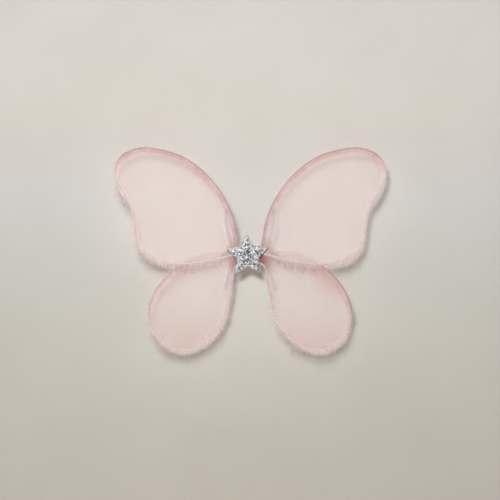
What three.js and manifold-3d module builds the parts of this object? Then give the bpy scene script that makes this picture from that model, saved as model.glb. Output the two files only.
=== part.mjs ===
// Fairy wings: four wired fabric wings around a padded centre, with a stuffed star in front
// and two elastic arm loops behind. Millimetres, +Z up, the star faces -Y.
// The origin is the centre of the back pad's rear face, which rests on the wearer's back.
import * as THREE from 'three';
import { mergeVertices } from 'three/addons/utils/BufferGeometryUtils.js';
import Module from 'manifold-3d';

const wasm = await Module();
wasm.setup();

// ---- driving dimensions ------------------------------------------------------------

const GAP = 0.3; // air between pieces that lie against each other

// Wing sizes: how far each wire reaches from the centre line, and up or down from the star.
const UPPER_REACH = 223.5;
const UPPER_RISE = 174;
const LOWER_REACH = 167;
const LOWER_DROP = 156;

// Where each wing's wire passes, from its upper root end round to its lower root end.
// Upper wing: [share of UPPER_REACH outwards, share of UPPER_RISE upwards].
const UPPER_OUTLINE = [
  [0.094, 0.138], [0.136, 0.379], [0.255, 0.655], [0.465, 0.897], [0.671, 0.989], [0.823, 1.0],
  [0.949, 0.925], [1.0, 0.77], [0.957, 0.609], [0.881, 0.466], [0.855, 0.316], [0.832, 0.115],
  [0.725, -0.029], [0.528, -0.08], [0.295, -0.046], [0.125, 0.009],
];
// Lower wing: [share of LOWER_REACH outwards, share of LOWER_DROP downwards].
const LOWER_OUTLINE = [
  [0.162, -0.013], [0.347, -0.032], [0.551, 0.019], [0.766, 0.167], [0.934, 0.385], [1.0, 0.628],
  [0.916, 0.872], [0.695, 1.0], [0.467, 0.923], [0.275, 0.705], [0.198, 0.423], [0.15, 0.128],
];
const STATIONS_PER_SPAN = 3; // places worked out along the wire between two outline points

const WIRE_RADIUS = 1.1;
const WIRE_SIDES = 6;
const CASING_WIDTH = 9.5; // folded edge, inwards from the wire
const CASING_SKIN = 0.6; // fabric round the wire
const CASING_EDGE = 0.6; // half thickness at the sewn inner edge
const CASING_ROOT = 17; // bare wire between the root and the casing
const PANEL_THICKNESS = 0.6;
const GATHER_THICKNESS = 2.6;
const GATHER_ROOT = 12; // how far the gathered fabric follows the bare wires
const GATHER_SETBACK = 1.2; // from the gathered fabric to the panel's corners
const FRINGE_WIDTH = 11;
const FRINGE_TAPER = 60; // length over which the fringe grows from the root
const FRINGE_ROOT_SHARE = 0.35; // of its width where it starts
const FRINGE_THICKNESS = 0.8;

// Root of each wing: a thread binding that stands in the centre's side slot.
const BINDING_X = 15;
const BINDING_RADIUS = 2.2;
const BINDING_HEIGHT = 11;
const BINDING_SIDES = 16;
const ROOT_MIDDLE = 8; // binding's middle above or below the star's centre
const ROOT_WIRE_SPREAD = 7; // between the two wire ends in one binding

// Centre, from the wearer's back to the front.
const PAD_WIDTH = 31;
const PAD_HEIGHT = 28;
const PAD_DEPTH = 5;
const PAD_SKIN = 0.8;
const BOARD_HEIGHT = 26;
const BOARD_THICKNESS = 1.2;
const BACK_SWING = 3.6; // room behind the wings for flexing back
const WING_SPACING = 4.2; // between the planes of the upper and lower wings
const CORE_WIDTH = 22;
const CORE_HEIGHT = 28;
const CORE_FRONT = 0.7; // core in front of the upper wings' casings
const FRONT_PAD_RADIUS = 16;
const FRONT_PAD_DEPTH = 3;
const CORNER_RADIUS = 7;

const STAR_RADIUS = 36;
const STAR_NOTCH_RADIUS = 18.5;
const STAR_POINTS = 5;
const STAR_DEPTH = 8;
const STAR_SKIN = 1.2;
const STAR_BACKING = 1;
const STAR_EDGE = 3; // rounding of the stuffed edge
const STAR_SHIFT = -4; // sewn on slightly to one side
const STAR_DROP = -1; // and slightly low
const STAR_TURN = 1; // degrees, sewn on slightly turned

// Arm loops of flat elastic.
const STRAP_WIDTH = 10;
const STRAP_THICKNESS = 1;
const STRAP_AIR = 10.4; // between the pad's stitching and the elastic
const STRAP_SEWN = 28; // length sewn to the centre
const STRAP_SPREAD = 7.5; // how far the loop's top and bottom lean outwards
const STRAP_SPREAD_OVER = 45; // height over which it leans
// Free run of the elastic from the seam's top round to its bottom: [back, up] in millimetres.
const STRAP_RUN = [
  [1.3, 26], [5.6, 46], [13, 66], [26, 78], [38, 74], [45.5, 58], [49, 34], [50, 8],
  [48, -18], [43, -38], [34, -51], [23, -54.5], [13, -48], [6, -35], [2.1, -23],
];
const SEAM_LINE = 0.8; // width and thickness of a line of stitching
const SEAM_INSET = 1.2; // from the edge of the elastic

// ---- planes worked out from the sizes above ----------------------------------------

const casingHalf = WIRE_RADIUS + 0.5 * GAP + CASING_SKIN;
const boardRear = -PAD_DEPTH - GAP;
const boardFront = boardRear - BOARD_THICKNESS;
const strapFront = boardRear + GAP;
const strapX = PAD_WIDTH / 2 + GAP + SEAM_LINE + STRAP_AIR + STRAP_WIDTH / 2;
const boardWidth = 2 * strapX + STRAP_WIDTH;
const strapY = strapFront + 0.5 * STRAP_THICKNESS;
const lowerPlane = boardFront - BACK_SWING - casingHalf;
const upperPlane = lowerPlane - WING_SPACING;
const coreRear = boardFront - GAP;
const coreFront = upperPlane - casingHalf - CORE_FRONT;
const frontPadRear = coreFront - GAP;
const frontPadFront = frontPadRear - FRONT_PAD_DEPTH;
const backingRear = frontPadFront - GAP;
const starRear = backingRear - STAR_BACKING - GAP;
const rootX = BINDING_X + BINDING_RADIUS + WIRE_RADIUS + GAP;

// ---- helpers -----------------------------------------------------------------------

const X = new THREE.Vector3(1, 0, 0);
const Y = new THREE.Vector3(0, 1, 0);
const Z = new THREE.Vector3(0, 0, 1);
const FACING_FRONT = new THREE.Matrix4().makeBasis(X, Z, Y.clone().negate());
const ALONG_X = new THREE.Matrix4().makeBasis(Y, Z, X);

const point = (x, y) => new THREE.Vector2(x, y);

// Drops normals and uvs and joins shared corners, so that the shape is one closed skin.
function welded(geometry) {
  const bare = geometry.clone();
  bare.deleteAttribute('normal');
  bare.deleteAttribute('uv');
  return mergeVertices(bare, 1e-4);
}

// The same shape on the other side of the centre line, with its faces still pointing out.
function mirrored(geometry) {
  const copy = welded(geometry);
  copy.scale(-1, 1, 1);
  copy.setIndex(new THREE.BufferAttribute(copy.index.array.slice().reverse(), 1));
  return copy;
}

function solid(geometry) {
  const merged = welded(geometry);
  return new wasm.Manifold(new wasm.Mesh({
    numProp: 3,
    vertProperties: new Float32Array(merged.attributes.position.array),
    triVerts: new Uint32Array(merged.index.array),
  }));
}

function skin(manifold) {
  const mesh = manifold.getMesh();
  const geometry = new THREE.BufferGeometry();
  geometry.setAttribute('position', new THREE.BufferAttribute(mesh.vertProperties, mesh.numProp));
  geometry.setIndex(new THREE.BufferAttribute(mesh.triVerts, 1));
  return geometry;
}

// A flat piece drawn in x and z, from its rear face at y forwards.
function plate(shape, rear, thickness) {
  const geometry = new THREE.ExtrudeGeometry(shape, {
    depth: thickness, bevelEnabled: false, curveSegments: 6,
  });
  return geometry.applyMatrix4(FACING_FRONT).translate(0, rear, 0);
}

function block(width, depth, height, x, y, z) {
  return new THREE.BoxGeometry(width, depth, height).translate(x, y, z);
}

function roundedRectangle(width, height, radius) {
  const [w, h, r] = [width / 2, height / 2, Math.min(radius, width / 2, height / 2)];
  const shape = new THREE.Shape();
  shape.moveTo(-w + r, -h).lineTo(w - r, -h).absarc(w - r, -h + r, r, -Math.PI / 2, 0);
  shape.lineTo(w, h - r).absarc(w - r, h - r, r, 0, Math.PI / 2);
  shape.lineTo(-w + r, h).absarc(-w + r, h - r, r, Math.PI / 2, Math.PI);
  shape.lineTo(-w, -h + r).absarc(-w + r, -h + r, r, Math.PI, 1.5 * Math.PI);
  return shape;
}

// Unit vector square to a run of points at each one, to the right of its direction.
function sideways(run) {
  return run.map((_, i) => {
    const ahead = run[Math.min(i + 1, run.length - 1)];
    const behind = run[Math.max(i - 1, 0)];
    const along = ahead.clone().sub(behind).normalize();
    return point(along.y, -along.x);
  });
}

// The run moved to its right by a distance, or by a distance worked out at each point.
function moved(run, distance) {
  const side = sideways(run);
  return run.map((p, i) => {
    const far = typeof distance === 'function' ? distance(i) : distance;
    return p.clone().addScaledVector(side[i], far);
  });
}

// Length along a run up to each of its points.
function lengths(run) {
  const total = [0];
  for (let i = 1; i < run.length; i += 1) {
    total.push(total[i - 1] + run[i].distanceTo(run[i - 1]));
  }
  return total;
}

// A smooth run through a few points, with a fixed number of places in each span.
function smoothRun(points, perSpan) {
  const curve = new THREE.CatmullRomCurve3(points.map(([x, z]) => new THREE.Vector3(x, z, 0)));
  const places = curve.getPoints((points.length - 1) * perSpan);
  return places.map((p) => point(p.x, p.y));
}

// A path whose sections stand exactly at given places in the plane y, inner side first.
class WirePath extends THREE.Curve {
  constructor(run, y) {
    super();
    this.places = run.map((p) => new THREE.Vector3(p.x, y, p.y));
    this.inwards = sideways(run).map((s) => new THREE.Vector3(s.x, 0, s.y));
  }

  getSpacedPoints() {
    return this.places;
  }

  computeFrenetFrames() {
    const normals = this.places.map(() => Y.clone().negate());
    const tangents = this.inwards.map((inward, i) => inward.clone().cross(normals[i]).negate());
    return { tangents, normals, binormals: this.inwards };
  }
}

function swept(section, run, y) {
  return new THREE.ExtrudeGeometry(section, {
    steps: run.length - 1, bevelEnabled: false, extrudePath: new WirePath(run, y),
  });
}

function polygon(radius, sides) {
  return Array.from({ length: sides }, (_, i) => {
    const angle = (2 * Math.PI * (i + 0.5)) / sides;
    return point(radius * Math.cos(angle), radius * Math.sin(angle));
  });
}

// ---- one wing, on the right-hand side ----------------------------------------------

function upperWire() {
  const root = [rootX, ROOT_MIDDLE + ROOT_WIRE_SPREAD / 2];
  const end = [rootX, ROOT_MIDDLE - ROOT_WIRE_SPREAD / 2];
  const body = UPPER_OUTLINE.map(([x, z]) => [x * UPPER_REACH, z * UPPER_RISE]);
  return smoothRun([root, ...body, end], STATIONS_PER_SPAN);
}

function lowerWire() {
  const root = [rootX, -ROOT_MIDDLE + ROOT_WIRE_SPREAD / 2];
  const end = [rootX, -ROOT_MIDDLE - ROOT_WIRE_SPREAD / 2];
  const body = LOWER_OUTLINE.map(([x, z]) => [x * LOWER_REACH, -z * LOWER_DROP]);
  return smoothRun([root, ...body, end], STATIONS_PER_SPAN);
}

// The stretch of wire that is more than a given length from both of its ends.
function middleStretch(run, fromEnds) {
  const along = lengths(run);
  const total = along[along.length - 1];
  const first = along.findIndex((s) => s >= fromEnds);
  const last = along.findLastIndex((s) => s <= total - fromEnds);
  return { first, last };
}

function wire(run, y) {
  return swept(new THREE.Shape(polygon(WIRE_RADIUS, WIRE_SIDES)), run, y);
}

// A sleeve round the wire that narrows to the seam on its inner side.
function casing(run, y) {
  const outer = casingHalf;
  const section = new THREE.Shape([
    point(-outer, -0.6 * outer), point(0, -1.3 * outer), point(outer, -0.6 * outer),
    point(outer, 0.8 * outer), point(CASING_EDGE, CASING_WIDTH),
    point(-CASING_EDGE, CASING_WIDTH), point(-outer, 0.8 * outer),
  ]);
  section.holes.push(new THREE.Path(polygon(WIRE_RADIUS + GAP, WIRE_SIDES)));
  return swept(section, run, y);
}

function panelCorners(run) {
  const { first, last } = middleStretch(run, CASING_ROOT);
  return moved(run, CASING_WIDTH + GAP).slice(first, last + 1);
}

function panel(run, y) {
  const shape = new THREE.Shape(panelCorners(run));
  return plate(shape, y + PANEL_THICKNESS / 2, PANEL_THICKNESS);
}

// Fabric drawn together between the two bare wires, from the panel to the binding.
function gather(run, y, middle) {
  const { first, last } = middleStretch(run, GATHER_ROOT);
  const inner = moved(run, WIRE_RADIUS + 2 * GAP);
  const corners = panelCorners(run);
  const centre = point(rootX, middle);
  const drawnIn = (p) => p.clone().add(centre.clone().sub(p).setLength(GATHER_SETBACK));
  const outline = [
    ...inner.slice(0, first), drawnIn(corners[0]),
    drawnIn(corners[corners.length - 1]), ...inner.slice(last + 1),
  ];
  return plate(new THREE.Shape(outline), y + GATHER_THICKNESS / 2, GATHER_THICKNESS);
}

// Loose threads outside the casing, shorter towards the root.
function fringe(run, y) {
  const { first, last } = middleStretch(run, CASING_ROOT);
  const stretch = run.slice(first, last + 1);
  const along = lengths(stretch);
  const total = along[along.length - 1];
  const inner = 1.3 * casingHalf + GAP;
  const width = (i) => {
    const grown = Math.min(1, Math.min(along[i], total - along[i]) / FRINGE_TAPER);
    return FRINGE_WIDTH * (FRINGE_ROOT_SHARE + (1 - FRINGE_ROOT_SHARE) * grown);
  };
  const outline = [
    ...moved(stretch, -inner), ...moved(stretch, (i) => -inner - width(i)).reverse(),
  ];
  return plate(new THREE.Shape(outline), y + FRINGE_THICKNESS / 2, FRINGE_THICKNESS);
}

function binding(y, middle) {
  const geometry = new THREE.CylinderGeometry(
    BINDING_RADIUS, BINDING_RADIUS, BINDING_HEIGHT, BINDING_SIDES);
  return geometry.rotateX(Math.PI / 2).translate(BINDING_X, y, middle);
}

function wingPieces(run, y, middle) {
  const { first, last } = middleStretch(run, CASING_ROOT);
  return {
    wire: wire(run, y),
    casing: casing(run.slice(first, last + 1), y),
    panel: panel(run, y),
    gather: gather(run, y, middle),
    fringe: fringe(run, y),
    root_binding: binding(y, middle),
  };
}

// ---- centre ------------------------------------------------------------------------

function padCover() {
  const outer = solid(plate(
    roundedRectangle(PAD_WIDTH, PAD_HEIGHT, CORNER_RADIUS), 0, PAD_DEPTH));
  const inside = 2 * (PAD_SKIN + GAP);
  const hollow = solid(plate(
    roundedRectangle(PAD_WIDTH - inside, PAD_HEIGHT - inside, CORNER_RADIUS - PAD_SKIN - GAP),
    -PAD_SKIN - GAP, PAD_DEPTH));
  return skin(outer.subtract(hollow));
}

function padFoam() {
  const inside = 2 * (PAD_SKIN + 2 * GAP);
  const shape = roundedRectangle(
    PAD_WIDTH - inside, PAD_HEIGHT - inside, CORNER_RADIUS - PAD_SKIN - 2 * GAP);
  return plate(shape, -PAD_SKIN - 2 * GAP, PAD_DEPTH - PAD_SKIN - 2 * GAP);
}

// A frame of stitching: an outline and the same outline drawn in by the line's width.
function stitchedFrame(outline, hole, rear) {
  outline.holes.push(new THREE.Path(hole.getPoints(6)));
  return plate(outline, rear, SEAM_LINE);
}

// Stitching that holds the back pad to the backing board, all round the pad.
function padStitching() {
  const frame = (out) => roundedRectangle(
    PAD_WIDTH + 2 * out, PAD_HEIGHT + 2 * out, CORNER_RADIUS + out);
  return stitchedFrame(frame(GAP + SEAM_LINE), frame(GAP), boardRear + GAP + SEAM_LINE);
}

function board() {
  return plate(roundedRectangle(boardWidth, BOARD_HEIGHT, CORNER_RADIUS),
    boardRear, BOARD_THICKNESS);
}

function core() {
  return plate(roundedRectangle(CORE_WIDTH, CORE_HEIGHT, CORNER_RADIUS),
    coreRear, coreRear - coreFront);
}

function frontPad() {
  const shape = new THREE.Shape().absarc(0, 0, FRONT_PAD_RADIUS, 0, 2 * Math.PI);
  return plate(shape, frontPadRear, FRONT_PAD_DEPTH);
}

// ---- star --------------------------------------------------------------------------

// A star drawn in by an inset, and by a rounding that its bevel gives back later.
function starShape(inset, rounding = 0) {
  const step = Math.PI / STAR_POINTS;
  const halfTip = Math.atan2(
    STAR_NOTCH_RADIUS * Math.sin(step), STAR_RADIUS - STAR_NOTCH_RADIUS * Math.cos(step));
  const tip = STAR_RADIUS - inset / Math.sin(halfTip) - rounding * Math.SQRT2;
  const notch = STAR_NOTCH_RADIUS - inset - rounding;
  const corners = Array.from({ length: 2 * STAR_POINTS }, (_, i) => {
    const angle = Math.PI / 2 + step * i;
    const radius = i % 2 ? notch : tip;
    return point(radius * Math.cos(angle), radius * Math.sin(angle));
  });
  return new THREE.Shape(corners);
}

// A stuffed star, rounded towards the front, with its flat rear face at y.
function puffedStar(inset, rear, depth) {
  const roundness = STAR_EDGE - inset / 2;
  const whole = new THREE.ExtrudeGeometry(starShape(inset, roundness), {
    depth: depth - roundness, bevelEnabled: true, bevelSegments: 2,
    bevelThickness: roundness, bevelSize: roundness,
  }).applyMatrix4(FACING_FRONT).translate(0, rear, 0);
  const wide = 4 * STAR_RADIUS;
  const cutter = block(wide, 2 * STAR_DEPTH, wide, 0, rear + STAR_DEPTH, 0);
  return solid(whole).subtract(solid(cutter));
}

function sewnOn(geometry) {
  const turn = THREE.MathUtils.degToRad(STAR_TURN);
  return geometry.rotateY(-turn).translate(STAR_SHIFT, 0, STAR_DROP);
}

function starShell() {
  const hollow = puffedStar(STAR_SKIN, starRear + GAP, STAR_DEPTH - STAR_SKIN + GAP);
  return sewnOn(skin(puffedStar(0, starRear, STAR_DEPTH).subtract(hollow)));
}

function starFilling() {
  return sewnOn(skin(puffedStar(
    STAR_SKIN + GAP, starRear, STAR_DEPTH - STAR_SKIN - GAP)));
}

function starBacking() {
  return sewnOn(plate(starShape(STAR_SKIN), backingRear, STAR_BACKING));
}

// ---- arm loops, on the right-hand side ---------------------------------------------

function strapAnchor() {
  return block(STRAP_WIDTH, STRAP_THICKNESS, STRAP_SEWN, strapX, strapY, 0);
}

// A box of stitching on the sewn stretch of elastic.
function strapStitching() {
  const frame = (inset) => roundedRectangle(
    STRAP_WIDTH - 2 * inset, STRAP_SEWN - 2 * inset, SEAM_LINE);
  const rear = strapY + STRAP_THICKNESS / 2 + GAP + SEAM_LINE;
  return stitchedFrame(frame(SEAM_INSET), frame(SEAM_INSET + SEAM_LINE), rear)
    .translate(strapX, 0, 0);
}

// The elastic is drawn from the side and spread outwards above and below the seam.
function armLoop() {
  const seam = STRAP_SEWN / 2 + GAP;
  const free = STRAP_RUN.map(([back, up]) => [strapY + back, up]);
  const run = smoothRun([[strapY, seam], ...free, [strapY, -seam]], STATIONS_PER_SPAN);
  const half = STRAP_THICKNESS / 2;
  const shape = new THREE.Shape([...moved(run, half), ...moved(run, -half).reverse()]);
  const loop = new THREE.ExtrudeGeometry(shape, { depth: STRAP_WIDTH, bevelEnabled: false });
  loop.applyMatrix4(ALONG_X).translate(strapX - STRAP_WIDTH / 2, 0, 0);
  const places = loop.attributes.position;
  for (let i = 0; i < places.count; i += 1) {
    const above = (Math.abs(places.getZ(i)) - seam) / STRAP_SPREAD_OVER;
    const lean = STRAP_SPREAD * THREE.MathUtils.smoothstep(above, 0, 1);
    places.setX(i, places.getX(i) + lean);
  }
  return loop;
}

// ---- materials ---------------------------------------------------------------------

const finish = (color, roughness, metalness = 0) => ({ color, roughness, metalness });
const FINISHES = {
  wire: finish('#c9c6c2', 0.35, 0.9),
  casing: finish('#d9a9a2', 0.85),
  panel: finish('#ecd3cb', 0.8),
  gather: finish('#b98881', 0.9),
  fringe: finish('#ecdad3', 0.95),
  root_binding: finish('#d8b3ab', 0.9),
  felt: finish('#d3a49d', 0.95),
  foam: finish('#ece6da', 0.9),
  glitter: finish('#b9b9bc', 0.35, 0.8),
  elastic: finish('#e6e0e8', 0.75),
  thread: finish('#e3c4bd', 0.8),
};

const wings = new THREE.Group();

function add(name, geometry, finishName) {
  const mesh = new THREE.Mesh(geometry, new THREE.MeshStandardMaterial(FINISHES[finishName]));
  mesh.name = name;
  wings.add(mesh);
}

function addPair(place, piece, geometry, finishName) {
  add(`${place}right_${piece}`, geometry, finishName);
  add(`${place}left_${piece}`, mirrored(geometry), finishName);
}

function addWings(place, pieces) {
  for (const [piece, geometry] of Object.entries(pieces)) {
    addPair(place, piece, geometry, piece);
  }
}

addWings('upper_', wingPieces(upperWire(), upperPlane, ROOT_MIDDLE));
addWings('lower_', wingPieces(lowerWire(), lowerPlane, -ROOT_MIDDLE));

add('back_pad_cover', padCover(), 'felt');
add('back_pad_foam', padFoam(), 'foam');
add('back_pad_stitching', padStitching(), 'thread');
add('backing_board', board(), 'felt');
add('centre_core', core(), 'foam');
add('front_pad', frontPad(), 'felt');
add('star_backing', starBacking(), 'felt');
add('star_filling', starFilling(), 'foam');
add('star_shell', starShell(), 'glitter');

addPair('', 'strap_anchor', strapAnchor(), 'elastic');
addPair('', 'strap_stitching', strapStitching(), 'thread');
addPair('', 'arm_loop', armLoop(), 'elastic');

export default wings;
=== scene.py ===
"""Fairy wings: fabric, star, elastic and stage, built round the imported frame.

Four sheer wings on wire loops meet behind a stuffed glitter star. Everything is in metres,
+Z up, with the star facing -Y and the wearer's back at +Y.
"""

import math

import bpy
import numpy as np
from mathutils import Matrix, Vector
from bpy.props import FloatProperty, FloatVectorProperty, IntProperty, PointerProperty
from bpy.types import Operator, Panel, PropertyGroup


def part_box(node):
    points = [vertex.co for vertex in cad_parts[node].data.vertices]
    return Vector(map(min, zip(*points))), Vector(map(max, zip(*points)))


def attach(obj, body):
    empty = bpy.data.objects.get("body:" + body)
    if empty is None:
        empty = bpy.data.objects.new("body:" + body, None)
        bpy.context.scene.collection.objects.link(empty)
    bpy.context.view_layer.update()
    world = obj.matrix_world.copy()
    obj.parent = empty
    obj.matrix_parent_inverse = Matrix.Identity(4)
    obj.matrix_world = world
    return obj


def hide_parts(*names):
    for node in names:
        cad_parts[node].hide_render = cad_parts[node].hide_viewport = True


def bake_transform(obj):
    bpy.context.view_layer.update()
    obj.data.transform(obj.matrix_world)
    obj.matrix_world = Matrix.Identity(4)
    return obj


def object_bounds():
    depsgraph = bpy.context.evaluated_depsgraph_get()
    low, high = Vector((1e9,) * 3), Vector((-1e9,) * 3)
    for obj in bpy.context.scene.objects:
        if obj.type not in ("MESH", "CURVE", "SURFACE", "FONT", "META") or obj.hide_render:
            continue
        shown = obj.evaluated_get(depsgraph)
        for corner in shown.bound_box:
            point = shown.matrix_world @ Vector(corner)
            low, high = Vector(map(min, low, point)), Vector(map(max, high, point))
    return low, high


bl_info = {
    "name": "Fairy Wings",
    "version": (1, 0, 0),
    "blender": (4, 5, 0),
    "location": "3D View > Sidebar > Fairy Wings",
    "description": "Builds fairy wings of wired sheer fabric with a stuffed star and arm loops",
    "category": "Add Mesh",
}

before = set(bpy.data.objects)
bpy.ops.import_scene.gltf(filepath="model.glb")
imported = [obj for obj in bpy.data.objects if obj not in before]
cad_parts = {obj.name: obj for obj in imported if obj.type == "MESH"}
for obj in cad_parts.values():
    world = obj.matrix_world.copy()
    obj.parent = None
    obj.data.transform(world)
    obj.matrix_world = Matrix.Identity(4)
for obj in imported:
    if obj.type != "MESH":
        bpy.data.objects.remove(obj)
CAD_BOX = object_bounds()
MM = 0.001

# Where each wing's wire passes, as shares of its reach outwards and of its rise or drop.
OUTLINES = {
    "upper": [
        (0.094, 0.138), (0.136, 0.379), (0.255, 0.655), (0.465, 0.897), (0.671, 0.989),
        (0.823, 1.0), (0.949, 0.925), (1.0, 0.77), (0.957, 0.609), (0.881, 0.466),
        (0.855, 0.316), (0.832, 0.115), (0.725, -0.029), (0.528, -0.08), (0.295, -0.046),
        (0.125, 0.009),
    ],
    "lower": [
        (0.162, -0.013), (0.347, -0.032), (0.551, 0.019), (0.766, 0.167), (0.934, 0.385),
        (1.0, 0.628), (0.916, 0.872), (0.695, 1.0), (0.467, 0.923), (0.275, 0.705),
        (0.198, 0.423), (0.15, 0.128),
    ],
}
# Each wing's seed for its folds and threads, and how much painted shade its upper edge takes.
WING_TRAITS = {
    "upper_right": (11, 0.95), "upper_left": (23, 1.0), "lower_right": (37, 1.25),
    "lower_left": (53, 0.55),
}
# Middle of each wing, from which its panel is worked out, in the same shares.
PANEL_MIDDLES = {"upper": (0.6, 0.45), "lower": (0.6, 0.5)}
# Free run of an arm loop's elastic beyond its seam: (back, up) in millimetres.
STRAP_RUN = [
    (1.3, 26), (5.6, 46), (13, 66), (26, 78), (38, 74), (45.5, 58), (49, 34), (50, 8),
    (48, -18), (43, -38), (34, -51), (23, -54.5), (13, -48), (6, -35), (2.1, -23),
]
ROOT_WIRE_SPREAD = 7 * MM  # between the two ends of a wing's wire
ROOT_AIR = 0.3 * MM  # from the binding to the ends of the wire
FULL_LEAN = 45 * MM  # above and below the seam, where an arm loop leans fully outwards
ELASTIC_RIBS = 7


# ---- settings ------------------------------------------------------------------------


def length(name, description, default, **limits):
    """A size in metres, at least nothing."""
    return FloatProperty(
        name=name, description=description, default=default, min=0, unit="LENGTH", **limits)


def colour(name, description, default):
    return FloatVectorProperty(
        name=name, description=description, default=default, min=0, max=1, size=3,
        subtype="COLOR")


def share(name, description, default):
    return FloatProperty(
        name=name, description=description, default=default, min=0, max=1, subtype="FACTOR")


class FairyWingsFabric(PropertyGroup):
    wire_radius: length("Wire radius", "Radius of the rim wire", 1.1 * MM)
    casing_width: length("Casing width", "Folded edge, inwards from the wire", 9.0 * MM)
    casing_half: length("Casing half thickness", "Fabric round the wire", 1.8 * MM)
    ruche_depth: length("Ruche depth", "Height of the small gathers in the casing", 0.42 * MM)
    ruche_spacing: length("Ruche spacing", "Between one small gather and the next", 3.6 * MM)
    fringe_length: length("Fringe length", "Longest loose threads", 11.5 * MM)
    stray_length: length("Stray length", "Longest stray threads", 16.5 * MM)
    thread_radius: length("Thread radius", "Radius of one loose thread", 0.135 * MM)
    threads_per_metre: FloatProperty(
        name="Threads per metre", description="Loose threads along a metre of hanging edge",
        default=5200, min=100)
    panel_colour: colour("Panel", "Sheer mesh of the wings", (0.785, 0.662, 0.624))
    casing_colour: colour("Casing", "Folded mesh round the wire", (0.7, 0.535, 0.52))
    fringe_colour: colour("Fringe", "Frayed edge", (0.88, 0.77, 0.745))
    panel_cover: share("Panel cover", "How much of what is behind the mesh it hides", 0.6)


class FairyWingsStar(PropertyGroup):
    radius: length("Radius", "Centre to tip", 36.6 * MM)
    lift: length("Lift", "How far the stuffing sits above the middle of its backing", 1.2 * MM)
    notch_radius: length("Notch radius", "Centre to inner corner", 18.5 * MM)
    turn: FloatProperty(
        name="Turn", description="How far the star is turned as it is sewn on",
        default=math.radians(2.5), unit="ROTATION")
    flake_count: IntProperty(name="Flakes", description="Glitter flakes", default=4200, min=100)
    flake_radius: length("Flake radius", "Mean radius of one flake", 0.8 * MM)
    silver: colour("Silver", "Glitter", (0.66, 0.67, 0.68))


class FairyWingsLoops(PropertyGroup):
    width: length("Width", "Width of the elastic", 10 * MM)
    thickness: length("Thickness", "Thickness of the elastic", 1.0 * MM)
    spread: length("Spread", "How far its top and bottom lean outwards", 7.5 * MM)
    elastic_colour: colour("Elastic", "Flat elastic", (0.28, 0.29, 0.38))


class FairyWingsStage(PropertyGroup):
    wall_gap: length("Wall gap", "From the arm loops to the wall", 6 * MM)
    floor_drop: length("Floor drop", "From the centre down to the floor", 0.6)
    camera_distance: length("Camera distance", "From the wings to the camera", 2.3)
    field: length("Field", "Width of what the camera takes in", 0.825)
    wall_colour: colour("Wall", "Plain pale wall and floor", (0.69, 0.655, 0.612))


# ---- arrays: curves, noise and grids -------------------------------------------------


def smooth_run(points, per_span):
    """A centripetal Catmull-Rom curve through the points, with per_span places in each span.

    Each span is a cubic whose end slopes come from its neighbours, weighted by the square
    roots of the distances between points. The ends are mirrored to give the outer spans.
    """
    p = np.asarray(points, float)
    p = np.vstack([2 * p[0] - p[1], p, 2 * p[-1] - p[-2]])
    a, b, c, d = p[:-3], p[1:-2], p[2:-1], p[3:]
    ab, bc, cd = (np.sqrt(np.linalg.norm(n - m, axis=1))[:, None]
                  for m, n in ((a, b), (b, c), (c, d)))
    slope_b = ((b - a) / ab - (c - a) / (ab + bc) + (c - b) / bc) * bc
    slope_c = ((c - b) / bc - (d - b) / (bc + cd) + (d - c) / cd) * bc
    t = np.linspace(0, 1, per_span, endpoint=False)[None, :, None]
    b, c, slope_b, slope_c = (m[:, None] for m in (b, c, slope_b, slope_c))
    run = (b * (2 * t**3 - 3 * t**2 + 1) + slope_b * (t**3 - 2 * t**2 + t)
           + c * (3 * t**2 - 2 * t**3) + slope_c * (t**3 - t**2))
    return np.vstack([run.reshape(-1, p.shape[1]), p[-2]])


def lengths(run):
    """Distance along a run up to each of its points."""
    steps = np.linalg.norm(np.diff(run, axis=0), axis=1)
    return np.concatenate([[0], np.cumsum(steps)])


def evenly(run, count):
    """The run at count places that are the same distance apart."""
    along = lengths(run)
    wanted = np.linspace(0, along[-1], count)
    return np.stack([np.interp(wanted, along, axis) for axis in run.T], 1)


def unit(vectors):
    return vectors / np.maximum(np.linalg.norm(vectors, axis=-1, keepdims=True), 1e-12)


def smoothstep(low, high, x):
    t = np.clip((x - low) / (high - low), 0, 1)
    return t * t * (3 - 2 * t)


def bell(x, place, width):
    """1 at a place, falling off on both sides as a bell curve."""
    return np.exp(-(((x - place) / width) ** 2))


def around(count):
    """Even angles round a full turn."""
    return 2 * math.pi * np.arange(count) / count


def power(x, exponent):
    """Numbers raised to an exponent with their signs kept, as a superellipse needs."""
    return np.sign(x) * np.abs(x) ** exponent


def upright(flat, y):
    """Places in x and z, set at a depth y, which may differ from place to place."""
    return np.stack([flat[..., 0], np.broadcast_to(y, flat.shape[:-1]), flat[..., 1]], -1)


def ripples(x, wavelength, seed, parts=5):
    """A soft uneven wave: sines of nearby wavelengths with seeded phases, about -1 to 1."""
    rng = np.random.default_rng(seed)
    waves = wavelength * rng.uniform(0.65, 1.6, parts)
    phases = rng.uniform(0, 2 * math.pi, parts)
    total = sum(np.sin(2 * math.pi * x / w + p) for w, p in zip(waves, phases))
    return total / math.sqrt(parts)


def grid_faces(rows, columns, wrap_rows=False, wrap_columns=False):
    """Quads between neighbouring points of a grid, joined round where it wraps."""
    i, j = np.meshgrid(
        np.arange(rows - (not wrap_rows)), np.arange(columns - (not wrap_columns)),
        indexing="ij")
    k, l = (i + 1) % rows, (j + 1) % columns
    corners = np.stack([i * columns + j, k * columns + j, k * columns + l, i * columns + l], -1)
    return corners.reshape(-1, 4)


def fan(hub, ring):
    """Triangles from the point numbered hub to the sides of a closed ring of points."""
    return np.stack([np.full(len(ring), hub), ring, np.roll(ring, -1)], 1)


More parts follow.
